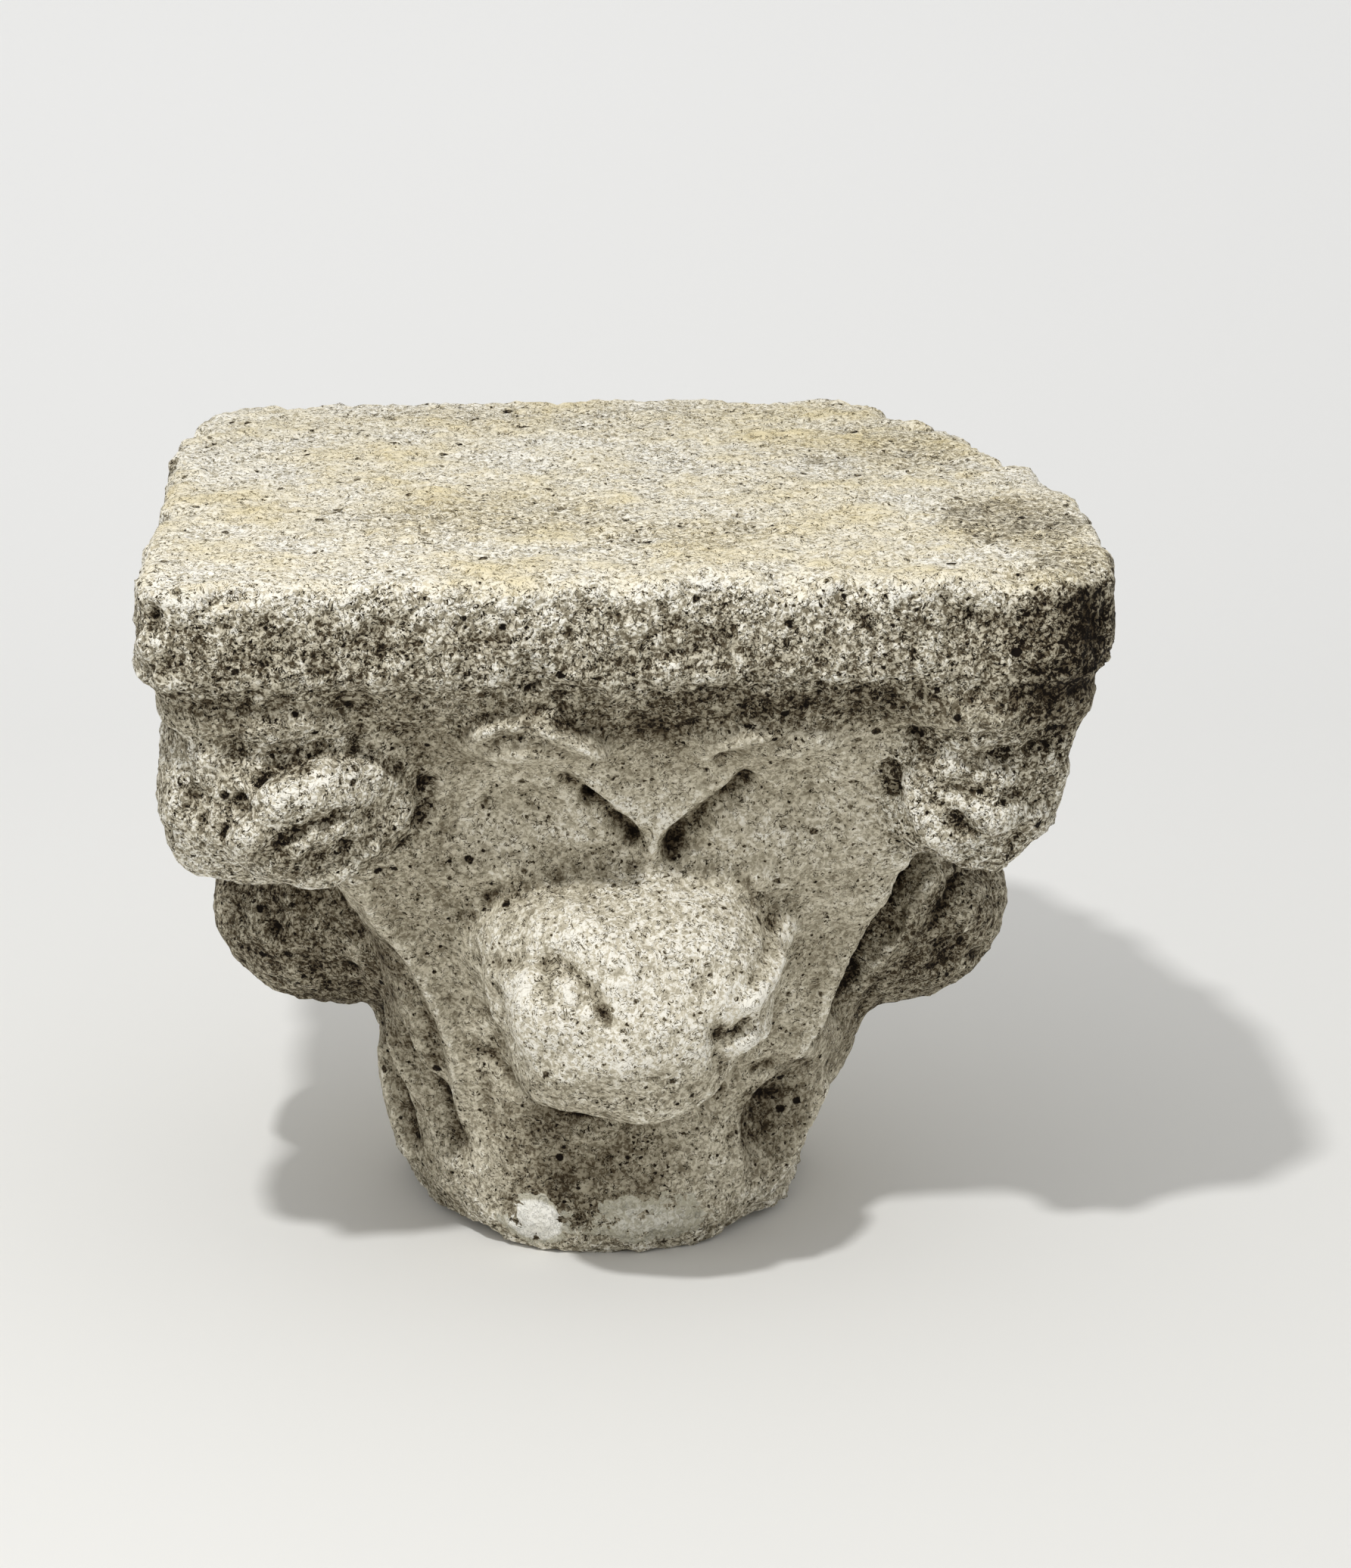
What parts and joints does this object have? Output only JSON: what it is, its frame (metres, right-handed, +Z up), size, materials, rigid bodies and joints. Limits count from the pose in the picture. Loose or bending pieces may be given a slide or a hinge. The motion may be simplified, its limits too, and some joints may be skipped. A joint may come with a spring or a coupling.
{
  "type": "column capital",
  "caption": "Weathered stone capital: square abacus on a bell, round at the foot, with a scroll under each corner and a curled leaf tip on each side",
  "frame": {"origin": "middle of the lower bed, the flat round underside that rests on the shaft", "axes": "+Z up through the upper bed, -Y towards the front face, +X to the right seen from the front"},
  "size_m": [0.366, 0.336, 0.3],
  "materials": {
    "limestone": "weathered matt"
  },
  "bodies": {
    "root": {"capital": "limestone"}
  },
  "joints": []
}
